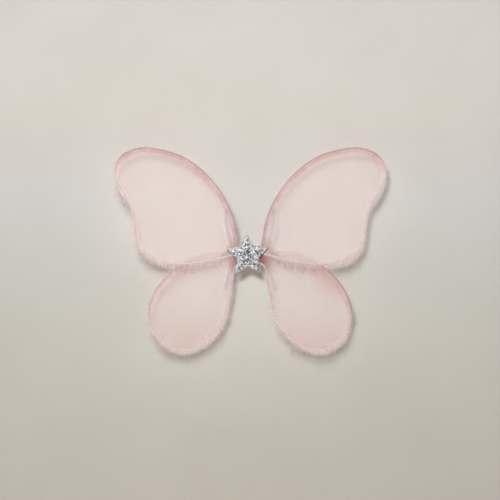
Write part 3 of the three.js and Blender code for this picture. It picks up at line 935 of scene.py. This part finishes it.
def build_fringe(wing, fabric, material):
    """Loose threads along the edge, thick and hanging below, sparse and short on top."""
    rng = np.random.default_rng(wing.seed)
    spacing = 1 / fabric.threads_per_metre
    line, outward, _, hanging, grown = edge_facts(wing, spacing)
    kept = rng.uniform(size=len(line)) < 0.3 + 0.7 * hanging
    line, outward, hanging, grown = (a[kept] for a in (line, outward, hanging, grown))
    count = len(line)
    bases = wing.in_space(line + outward * (1.0 * MM), rng.normal(0, 0.5 * MM, count))
    place = lengths(line)
    lean = rng.normal(0, 0.24, count) + 0.42 * ripples(place, 4.5 * MM, wing.seed + 11)
    along = np.stack([-outward[:, 1], outward[:, 0]], 1)
    heading = unit(outward + along * lean[:, None])
    directions = upright(heading, rng.normal(0, 0.22, count))
    drops = np.zeros((count, 3))
    drops[:, 2] = -(0.1 + 0.55 * hanging)
    clumps = 0.86 + 0.42 * np.abs(ripples(place, 9 * MM, wing.seed + 12))
    reach = fabric.fringe_length * (0.75 + 0.2 * hanging) * grown * clumps
    reach = np.maximum(reach * rng.uniform(0.3, 1.0, count), 1.2 * MM)
    stray = rng.uniform(size=count) < STRAY_SHARE
    reach = np.where(stray, fabric.stray_length * rng.uniform(0.6, 1.0, count) * grown, reach)
    drops[stray, 2] *= 0.4
    rosy = hanging * ROSY_THREADS[wing.level]
    rosy = np.clip(rosy + rng.normal(0, 0.2, count), 0, 1)
    points, faces = tufts(bases, directions, drops, reach, fabric.thread_radius)
    points = mirrored(points, wing.side)
    piece = make_piece(f"{wing.name}_loose_threads", points, facing_out(faces, wing.side),
                       material, values={"rosy": np.repeat(rosy, len(points) // count)})
    return settle(piece, wing.body, "fringe", f"{wing.name}_fringe")


def build_gather(wing, fabric, material):
    """Fabric drawn together at the root: a flattened tube with pleats that opens outwards.

    Its section is an ellipse whose height grows along the way from the binding, and whose
    radius carries pleats round it. It thins out into the panel.
    """
    steps, sides = 60, 96
    t = np.linspace(0, 1, steps)
    line, _, distance = wing.run(0.5 * MM)
    reach = GATHER_REACH
    start, end = (np.array([np.interp(along, distance, axis) for axis in line.T]).T
                  for along in (reach * t, distance[-1] - reach * t))
    middle = (start + end) / 2
    half = np.linalg.norm(start - end, axis=1) / 2 + 1.2 * MM * (1 - t)
    across = unit(start - end)
    angle = around(sides)
    pleat = 1 + 0.1 * np.sin(15 * angle + 3 * ripples(angle * 0.1, 0.3, wing.seed + 13))
    depth = MM * (2.1 * (1 - t) ** 1.5 + 0.25)
    section = np.stack([
        np.sin(angle)[None] * depth[:, None] * pleat[None] ** 2,
        np.cos(angle)[None] * half[:, None] * np.ones(sides)[None],
    ], -1)
    points, faces = wing.carry(section, middle, across)
    cover = np.broadcast_to((1 - 0.9 * smoothstep(0.3, 1, t))[:, None], (steps, sides))
    # The pleats take the shaded tone all over, with painted shade deepest at the root.
    piece = make_piece(f"{wing.name}_root_pleats", points, faces, material,
                       tube_uvs(reach * t, sides, wing.side),
                       {"cover": cover, "painted_shade": np.ones((steps, sides)),
                        "line": -ROOT_SHADE[wing.level] * (1 - t[:, None]) * np.ones(sides)})
    return settle(piece, wing.body, "edge_fabric", f"{wing.name}_gather")


def build_binding(wing, material):
    """Thread wound round the wire ends: a column whose radius swells at each turn."""
    low, high = (np.array(corner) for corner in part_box(f"{wing.level}_right_root_binding"))
    middle, radius, turns = (low + high) / 2, (high[0] - low[0]) / 2, BINDING_TURNS
    steps, sides = turns * 8, 32
    t = np.linspace(0, 1, steps)
    angle = around(sides)
    wound = np.abs(np.sin(math.pi * (turns * t[:, None] + angle[None] / (2 * math.pi))))
    swell = radius * (0.86 + 0.14 * wound)
    ends = np.sqrt(np.clip(1 - (2 * t - 1) ** 20, 0.15, 1))[:, None]
    section = (swell * ends)[..., None] * np.stack([np.cos(angle), np.sin(angle)], -1)[None]
    run = np.stack([np.full(steps, middle[0]), np.full(steps, middle[1]),
                    low[2] + (high[2] - low[2]) * t], 1)
    up = np.tile([1.0, 0.0, 0.0], (steps, 1))
    across = np.tile([0.0, 1.0, 0.0], (steps, 1))
    points, faces = swept(section, run, across, up, wing.side)
    piece = make_piece(f"{wing.name}_wound_thread", points, faces, material)
    return settle(piece, wing.body, "thread", f"{wing.name}_root_binding")


def build_sparkles(wing, material):
    """Tiny flakes of glitter scattered over the panel."""
    rng = np.random.default_rng(wing.seed + 20)
    count = SPARKLES[wing.level]
    line = wing.run(2 * MM)[0]
    at = rng.integers(0, len(line), count)
    inwards = np.sqrt(rng.uniform(0, 0.9, count))[:, None]
    flat = wing.middle + (line[at] - wing.middle) * inwards
    centres = wing.in_space(flat, wing.folds(flat) - 0.12 * MM)
    normals = np.tile([0.0, -1.0, 0.0], (count, 1))
    radii = rng.uniform(0.16, 0.46, count) * MM
    points, faces = flakes(centres, normals, radii, rng, 0.25, 0.05 * MM)
    tone = np.repeat(rng.uniform(0, 1, count) ** 1.6, FLAKE_CORNERS)
    piece = make_piece(f"{wing.name}_sparkles", mirrored(points, wing.side),
                       facing_out(faces, wing.side), material, values={"tone": tone},
                       smooth=False)
    return settle(piece, wing.body, "glitter")


# ---- star ----------------------------------------------------------------------------


STAR_SEAM = 0.28  # share of the star's depth that lies behind its seam
STAR_CROWN = 11.5 * MM  # from the seam to where the stuffing is at its full height
CORNER_ROUNDING = 0.8 * MM
BACKING_SHARE = 0.92  # of the star's size
GLITTER_PATCH = 2.3 * MM  # size of brighter and duller patches in the glitter


def star_facts(star):
    """The star's middle in x and z, and the depths of its rear, its seam and its front."""
    low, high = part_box("star_shell")
    rise = star.radius * (1 - math.cos(math.pi / 5)) / 2
    middle = np.array([
        (low.x + high.x) / 2 + rise * math.sin(star.turn),
        (low.z + high.z) / 2 + (star.lift - rise * math.cos(star.turn))])
    return middle, high.y, high.y - STAR_SEAM * (high.y - low.y), low.y


def star_corners(star):
    angle = math.pi / 2 + star.turn + math.pi / 5 * np.arange(10)
    radius = np.where(np.arange(10) % 2, star.notch_radius, star.radius)
    return np.stack([radius * np.cos(angle), radius * np.sin(angle)], 1)


def star_outline(star, count):
    """Even places round the star, with its tips and notches slightly rounded."""
    corners = star_corners(star)
    ring = np.vstack([corners, corners[:1]])
    even = evenly(ring, count + 1)[:-1]
    window = max(1, round(CORNER_ROUNDING / (lengths(ring)[-1] / count)))
    stack = [np.roll(even, k, axis=0) for k in range(-window, window + 1)]
    return np.mean(stack, axis=0)


def stuffed_height(star, flat):
    """How far the stuffing lifts the cloth: a quarter round over the distance to the seam."""
    corners = star_corners(star)
    after = np.roll(corners, -1, axis=0)
    edge = after - corners
    away = flat[..., None, :] - corners
    t = np.clip(np.sum(away * edge, -1) / np.sum(edge * edge, -1), 0, 1)
    gap = np.linalg.norm(away - t[..., None] * edge, axis=-1)
    soft = np.sum(np.maximum(gap, 0.01 * MM) ** -5.0, axis=-1) ** (-1 / 5.0)
    rise = np.clip(soft / STAR_CROWN, 0, 1)
    return np.sqrt(1 - (1 - rise) ** 2)


def build_star(star, cloth):
    """A stuffed star: rings from its outline to its middle, front and back."""
    middle, rear, seam, front = star_facts(star)
    outline = star_outline(star, 360)
    rings = 44
    r = np.sin(np.linspace(0, math.pi / 2, rings))[::-1][:, None, None]
    flat = outline[None] * r
    height = stuffed_height(star, flat)
    height[0] = 0.0
    ruck = 0.25 * MM * ripples(
        np.arctan2(flat[..., 1], flat[..., 0]), 0.12, 71) * np.exp(-height * 3) * (height > 0)
    near = seam + (front - seam) * height + ruck
    far = seam + (rear - seam) * height
    placed = flat + middle
    hubs = upright(np.stack([middle, middle]), [near[-2].mean(), far[-2].mean()])
    points = np.vstack([upright(placed, near)[:-1].reshape(-1, 3),
                        upright(placed, far)[1:-1].reshape(-1, 3), hubs])
    rows, columns = rings - 1, len(outline)
    front_index = np.arange(rows * columns).reshape(rows, columns)
    back_index = np.vstack([front_index[:1], front_index[:-1] + rows * columns])
    total = (2 * rows - 1) * columns
    front_quads = grid_faces(rows, columns, wrap_columns=True)
    a, b = back_index[:-1], back_index[1:]
    back_quads = np.stack([a, b, np.roll(b, -1, 1), np.roll(a, -1, 1)], -1).reshape(-1, 4)
    fans = np.vstack([fan(total, front_index[-1]), fan(total + 1, back_index[-1])[:, ::-1]])
    piece = make_piece("stuffed_star", points, [front_quads[:, ::-1], back_quads, fans], cloth)
    settle(piece, "centre", "glitter", "star_shell", "star_filling")
    return piece


def build_star_flakes(star, material):
    """Glitter flakes all over the star's front and sides."""
    rng = np.random.default_rng(7)
    middle, _, seam, front = star_facts(star)
    outline = star_outline(star, 720)
    count = star.flake_count
    at = rng.integers(0, len(outline), count * 3)
    inwards = np.sqrt(rng.uniform(0, 1, count * 3))
    weight = np.linalg.norm(outline[at], axis=1) ** 2
    kept = rng.uniform(size=count * 3) < weight / star.radius**2
    flat = (outline[at] * inwards[:, None] * 0.997)[kept][:count]
    step = 0.15 * MM
    depth = seam - front
    height = stuffed_height(star, flat)
    slope_x = (stuffed_height(star, flat + [step, 0]) - height) / step * depth
    slope_z = (stuffed_height(star, flat + [0, step]) - height) / step * depth
    normals = unit(np.stack([-slope_x, -np.ones(len(flat)), -slope_z], 1))
    centres = upright(flat + middle, seam - depth * height)
    centres += normals * rng.uniform(0.05, 0.35, len(flat))[:, None] * MM
    radii = star.flake_radius * rng.uniform(0.55, 1.3, len(flat))
    points, faces = flakes(centres, normals, radii, rng, 0.3, 0.06 * MM)
    # Painted shade: flakes are more often dark towards the middle and the bottom of the star, so
    # its rims stay bright as a painted highlight; patches and a few flakes are dull at random.
    low = 1 - (flat[:, 1] + star.radius) / (2 * star.radius)
    patches = rng.uniform(-1, 1, (64, 64))
    cell = np.floor(flat / GLITTER_PATCH).astype(int) + len(patches) // 2
    patch = patches[cell[:, 0], cell[:, 1]]
    dull_and_shaded = rng.uniform(size=len(flat)) < 0.1 + height**2 * (0.32 + 0.45 * low) + 0.4 * patch
    tone = np.where(dull_and_shaded, rng.uniform(0, 0.1, len(flat)), rng.uniform(0.75, 1, len(flat)))
    piece = make_piece("star_glitter", points, faces, material,
                       values={"tone": np.repeat(tone, FLAKE_CORNERS)}, smooth=False)
    return settle(piece, "centre", "glitter")


# ---- centre --------------------------------------------------------------------------


def build_cushion_for(name, nodes, softness, material, slot):
    """A soft-cornered piece that fills the box of the first node that it stands for."""
    low, high = (np.array(corner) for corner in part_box(nodes[0]))
    piece = cushion(name, (low + high) / 2, high - low, softness, material)
    return settle(piece, "centre", slot, *nodes)


def build_star_backing(star, material):
    """Felt cut to the star's shape, a little smaller than the cloth in front of it."""
    low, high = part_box("star_backing")
    middle = star_facts(star)[0]
    outline = star_outline(star, 300) * BACKING_SHARE
    profile = np.array([(0.97, 0.0), (1.0, 0.25), (1.0, 0.75), (0.97, 1.0)])
    flat = outline[None] * profile[:, :1, None] + middle
    points = upright(flat, low.y + (high.y - low.y) * profile[:, 1:]).reshape(-1, 3)
    hubs = upright(np.stack([middle, middle]), [low.y, high.y])
    rows, columns = flat.shape[:2]
    total, ring = rows * columns, np.arange(columns)
    fans = np.vstack([fan(total, ring), fan(total + 1, total - columns + ring)[:, ::-1]])
    sides = grid_faces(rows, columns, wrap_columns=True)
    piece = make_piece("star_felt", np.vstack([points, hubs]), [sides, fans], material)
    return settle(piece, "centre", "felt", "star_backing")


def dashed(corners, spacing, fill=0.62):
    """Starts and ends of stitches along a closed or open line of corners."""
    along = lengths(corners)
    count = max(2, round(along[-1] / spacing))
    begins = np.arange(count) * along[-1] / count
    finishes = begins + fill * along[-1] / count
    return (np.stack([np.interp(begins, along, axis) for axis in corners.T], 1),
            np.stack([np.interp(finishes, along, axis) for axis in corners.T], 1))


def build_pad_stitching(material):
    """Overcast stitches that hold the back pad's edge to the backing board."""
    pad_low, pad_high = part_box("back_pad_cover")
    node_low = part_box("back_pad_stitching")[0]
    angle = np.linspace(0, 2 * math.pi, 240)
    half = np.array([(pad_high.x - pad_low.x) / 2, (pad_high.z - pad_low.z) / 2])
    soft_box = power(np.stack([np.cos(angle), np.sin(angle)], 1), 0.4)
    inner = evenly(soft_box * (half - 0.4 * MM), 40)[:-1]
    outer = evenly(soft_box * (half + 1.0 * MM), 40)[:-1]
    outer = np.roll(outer, -1, axis=0) * 0.35 + outer * 0.65
    starts = upright(inner, node_low.y + 1.5 * MM)
    finishes = upright(outer, node_low.y + 0.05 * MM)
    piece = stitches("back_pad_overcast", starts, finishes, 0.35 * MM, 0.24 * MM, material)
    return settle(piece, "centre", "thread", "back_pad_stitching")


def build_strap_stitching(side_name, material):
    """A box of stitches with a cross in it, through the sewn stretch of elastic."""
    low, high = (np.array(c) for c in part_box(f"{side_name}_strap_stitching"))
    x0, x1, z0, z1 = low[0] + 0.4 * MM, high[0] - 0.4 * MM, low[2] + 0.4 * MM, high[2] - 0.4 * MM
    y = low[1] - 0.25 * MM
    box = np.array([(x0, y, z0), (x1, y, z0), (x1, y, z1), (x0, y, z1), (x0, y, z0)])
    cross = [np.array([(x0, y, z0), (x1, y, z1)]), np.array([(x1, y, z0), (x0, y, z1)])]
    pairs = [dashed(line, 1.9 * MM) for line in [box, *cross]]
    starts, finishes = (np.vstack([p[k] for p in pairs]) for k in (0, 1))
    piece = stitches(f"{side_name}_strap_box_stitch", starts, finishes, 0.3 * MM, 0.2 * MM,
                     material)
    return settle(piece, "centre", "thread", f"{side_name}_strap_stitching")


def build_loop(side_name, loops, material):
    """One ring of flat elastic, sewn down along its front stretch.

    Its line is drawn in y and z from the seam up, back and round to the seam again, and leans
    outwards above and below. Its section is a flat superellipse with long shallow ribs.
    """
    side = 1 if side_name == "right" else -1
    low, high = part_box("right_strap_anchor")
    seam_y, seam_x = (low.y + high.y) / 2, (low.x + high.x) / 2
    half_seam = (high.z - low.z) / 2
    free = [(seam_y + back * MM, up * MM) for back, up in STRAP_RUN]
    ring = [(seam_y, 0), (seam_y, half_seam), *free, (seam_y, -half_seam), (seam_y, 0)]
    flat = evenly(smooth_run(ring, 20), 401)[:-1]
    above = np.abs(flat[:, 1]) - half_seam
    lean = loops.spread * smoothstep(0, FULL_LEAN, above)
    twist = 0.5 * MM * ripples(lengths(flat), 60 * MM, 91 + side) * smoothstep(
        0, 30 * MM, above)
    run = np.stack([seam_x + lean + twist, flat[:, 0], flat[:, 1]], 1)
    along = unit(np.roll(run, -1, axis=0) - np.roll(run, 1, axis=0))
    across = unit(np.array([1.0, 0, 0]) - along * along[:, :1])
    up = np.cross(along, across)
    sides = 64
    angle = around(sides)
    wide = power(np.cos(angle), 0.5) * loops.width / 2
    ribs = 1 + 0.1 * np.cos(2 * math.pi * ELASTIC_RIBS * wide / loops.width)
    thick = power(np.sin(angle), 0.5) * loops.thickness / 2 * ribs
    points = run[:, None] + wide[None, :, None] * across[:, None] + (
        thick[None, :, None] * up[:, None])
    quads = grid_faces(len(run), sides, wrap_rows=True, wrap_columns=True)
    u = np.concatenate([lengths(run), [lengths(run)[-1] + 0.8 * MM]])
    corner_uvs = grid_uvs(u, np.concatenate([wide, wide[:1]]) / loops.width)
    piece = make_piece(
        f"{side_name}_elastic_loop", mirrored(points.reshape(-1, 3), side),
        facing_out([quads], side), material, uvs_for_side(corner_uvs, 4, side))
    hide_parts(f"{side_name}_arm_loop", f"{side_name}_strap_anchor")
    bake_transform(piece)
    return piece


# ---- operators -----------------------------------------------------------------------


class FAIRYWINGS_OT_wings(Operator):
    """Build the four wings: wires, casings, sheer panels, gathers, raw edges and threads"""

    bl_idname = "fairywings.wings"
    bl_label = "Wings"

    def execute(self, context):
        fabric = context.scene.fairy_fabric
        steel = wire_material("spring_wire")
        casing = casing_material(fabric, "ruched_net")
        frill = frill_material(fabric, "raw_net_edge")
        loose = loose_material(fabric, "loose_thread")
        bound = thread_material("binding_thread", (0.6, 0.36, 0.33))
        sparkle = speck_material("speck")
        panels = {
            "upper": panel_material(fabric, "sheer_net_front", (1, 1, 1)),
            "lower": panel_material(fabric, "sheer_net_behind", (0.97, 0.97, 0.97)),
        }
        for level in ("upper", "lower"):
            for side_name in ("right", "left"):
                wing = Wing(level, side_name)
                build_wire(wing, fabric, steel)
                on_it = [
                    build_casing(wing, fabric, casing),
                    build_gather(wing, fabric, casing),
                    build_frill(wing, fabric, frill),
                    build_fringe(wing, fabric, loose),
                    build_sparkles(wing, sparkle),
                ]
                build_panel(wing, fabric, panels[level])
                build_binding(wing, bound)
        return {"FINISHED"}


class FAIRYWINGS_OT_star(Operator):
    """Build the stuffed star, its glitter and its felt backing"""

    bl_idname = "fairywings.star"
    bl_label = "Star"

    def execute(self, context):
        star = context.scene.fairy_star
        build_star(star, glitter_cloth_material(star, "glitter_cloth"))
        build_star_flakes(star, glitter_material(star, "glitter_flakes"))
        build_star_backing(star, felt_material("star_felt", (0.5, 0.5, 0.52)))
        return {"FINISHED"}


class FAIRYWINGS_OT_centre(Operator):
    """Build the back pad, the backing board, the core, the front pad and their stitching"""

    bl_idname = "fairywings.centre"
    bl_label = "Centre"

    def execute(self, context):
        felt = felt_material("dusty_felt", (0.5, 0.24, 0.23))
        pad = felt_material("pad_felt", (0.66, 0.36, 0.33))
        back = build_cushion_for(
            "back_pad", ["back_pad_cover", "back_pad_foam"], (0.42, 0.34), pad, "felt")
        build_cushion_for("felt_board", ["backing_board"], (0.5, 0.3), felt, "felt")
        core = build_cushion_for("core_pad", ["centre_core"], (0.45, 0.25), pad, "foam")
        front = build_cushion_for("front_felt_pad", ["front_pad"], (1.0, 0.35), felt, "felt")
        build_pad_stitching(thread_material("pad_thread", (0.72, 0.5, 0.47)))
        return {"FINISHED"}


class FAIRYWINGS_OT_loops(Operator):
    """Build the two arm loops of flat elastic and the stitching that holds them"""

    bl_idname = "fairywings.loops"
    bl_label = "Arm loops"

    def execute(self, context):
        loops = context.scene.fairy_loops
        elastic = elastic_material(loops, "flat_elastic")
        thread = thread_material("strap_thread", (0.7, 0.42, 0.42))
        for side_name in ("right", "left"):
            build_loop(side_name, loops, elastic)
            build_strap_stitching(side_name, thread)
        return {"FINISHED"}


# The stage, in metres: how far the wall goes up and to each side, how far the floor comes
# forwards, and the radius between the two.
WALL_TOP, WALL_SIDE, FLOOR_REACH, WALL_BEND = 2.2, 3.0, 4.5, 0.25
CAMERA_RISE = 8.25 * MM  # above the middle of the centre
SENSOR_WIDTH = 36


def area_light(name, place, target, size, power, tone=(1, 1, 1)):
    """A soft light of some width and height at a place, turned to face a target."""
    light = bpy.data.lights.new(name, "AREA")
    light.shape, light.energy, light.color = "RECTANGLE", power, tone
    light.size, light.size_y = size
    lamp = bpy.data.objects.new(name, light)
    bpy.context.scene.collection.objects.link(lamp)
    lamp.location = place
    look = np.array(target) - np.array(place)
    lamp.rotation_mode = "QUATERNION"
    lamp.rotation_quaternion = Vector(look).to_track_quat("-Z", "Y")
    return lamp


class FAIRYWINGS_OT_stage(Operator):
    """Build the pale wall and floor, the lights and the camera"""

    bl_idname = "fairywings.stage"
    bl_label = "Stage"

    def execute(self, context):
        stage = context.scene.fairy_stage
        wall_y = CAD_BOX[1].y + stage.wall_gap
        turn = np.linspace(0, math.pi / 2, 24)
        curve = np.stack([
            wall_y - WALL_BEND + WALL_BEND * np.cos(turn),
            -stage.floor_drop + WALL_BEND - WALL_BEND * np.sin(turn)], 1)
        profile = np.vstack([[wall_y, WALL_TOP], curve, [-FLOOR_REACH, -stage.floor_drop]])
        points = np.array([(x, y, z) for y, z in profile for x in (-WALL_SIDE, WALL_SIDE)])
        wall = make_piece("wall_and_floor", points, [grid_faces(len(profile), 2)],
                          wall_material(stage, "pale_wall"))
        world = bpy.data.worlds.new("pale_world")
        world.use_nodes = True
        context.scene.world = world
        background = world.node_tree.nodes["Background"]
        background.inputs["Color"].default_value = (1.0, 0.84, 0.66, 1)
        background.inputs["Strength"].default_value = 0.08
        plane = Wing("upper", "right").plane
        area_light("key", (-0.2, -2.6, 0.5), (0, plane, 0), (0.3, 0.24), 54, (0.98, 1, 1.01))
        area_light("overhead", (0, -1.6, 1.9), (0, -1.4, 0), (2.4, 2.0), 4.4, (1, 0.93, 0.84))
        area_light("back_fill", (-0.5, 1.3, 0.7), (0, 0, 0), (1.0, 1.0), 22)
        camera = bpy.data.objects.new("camera", bpy.data.cameras.new("camera"))
        context.scene.collection.objects.link(camera)
        camera.location = (0, plane - stage.camera_distance, CAMERA_RISE)
        camera.rotation_euler = (math.pi / 2, 0, 0)
        camera.data.sensor_width = SENSOR_WIDTH
        camera.data.lens = SENSOR_WIDTH * stage.camera_distance / stage.field
        context.scene.camera = camera
        context.scene.view_settings.view_transform = "Standard"
        return {"FINISHED"}


class FAIRYWINGS_PT_panel(Panel):
    """Lists the settings and the pieces"""

    bl_label = "Fairy Wings"
    bl_space_type = "VIEW_3D"
    bl_region_type = "UI"
    bl_category = "Fairy Wings"

    def draw(self, context):
        for operator, group in PIECES:
            self.layout.operator(operator.bl_idname)
            if group:
                settings = getattr(context.scene, group)
                for key in settings.bl_rna.properties.keys():
                    if key not in ("rna_type", "name"):
                        self.layout.prop(settings, key)


PIECES = [
    (FAIRYWINGS_OT_wings, "fairy_fabric"),
    (FAIRYWINGS_OT_star, "fairy_star"),
    (FAIRYWINGS_OT_centre, None),
    (FAIRYWINGS_OT_loops, "fairy_loops"),
    (FAIRYWINGS_OT_stage, "fairy_stage"),
]
SETTINGS = {
    "fairy_fabric": FairyWingsFabric,
    "fairy_star": FairyWingsStar,
    "fairy_loops": FairyWingsLoops,
    "fairy_stage": FairyWingsStage,
}


def register():
    for name, group in SETTINGS.items():
        bpy.utils.register_class(group)
        setattr(bpy.types.Scene, name, PointerProperty(type=group))
    for operator, _ in PIECES:
        bpy.utils.register_class(operator)
    bpy.utils.register_class(FAIRYWINGS_PT_panel)


def unregister():
    bpy.utils.unregister_class(FAIRYWINGS_PT_panel)
    for operator, _ in reversed(PIECES):
        bpy.utils.unregister_class(operator)
    for name, group in reversed(SETTINGS.items()):
        delattr(bpy.types.Scene, name)
        bpy.utils.unregister_class(group)


def main():
    register()
    for operator, _ in PIECES:
        group, name = operator.bl_idname.split(".")
        getattr(getattr(bpy.ops, group), name)()


if __name__ == "__main__":
    main()
